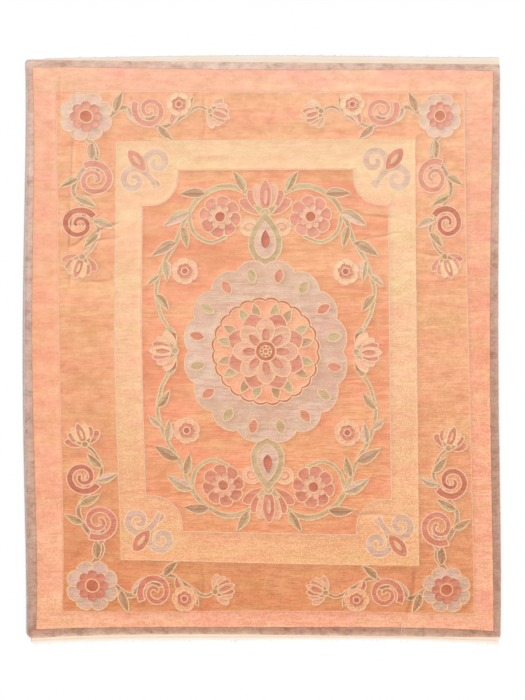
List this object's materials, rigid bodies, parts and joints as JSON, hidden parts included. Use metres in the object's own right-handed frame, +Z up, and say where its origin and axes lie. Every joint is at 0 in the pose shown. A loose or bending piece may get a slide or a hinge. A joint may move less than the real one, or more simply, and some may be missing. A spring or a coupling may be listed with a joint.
{
  "type": "nepalese rug",
  "caption": "Large rectangular hand-knotted wool pile rug with carved bands, thin flat-woven ends and overcast side cords.",
  "frame": {"origin": "centre of the outline, on the floor", "axes": "+Z up from the underside through the pile, +Y along the rug's length and its warps, +X across it"},
  "size_m": [2.487, 3.051, 0.0157],
  "materials": {
    "knotted_wool": "matte hand-spun wool pile in soft tan, salmon, cream and mauve, with uneven dye streaks",
    "overcast_wool": "matte mauve-grey wool yarn wound round the side cord"
  },
  "bodies": {
    "root": {"woven_rug": "knotted_wool", "selvedge_left": "overcast_wool", "selvedge_right": "overcast_wool"}
  },
  "joints": []
}
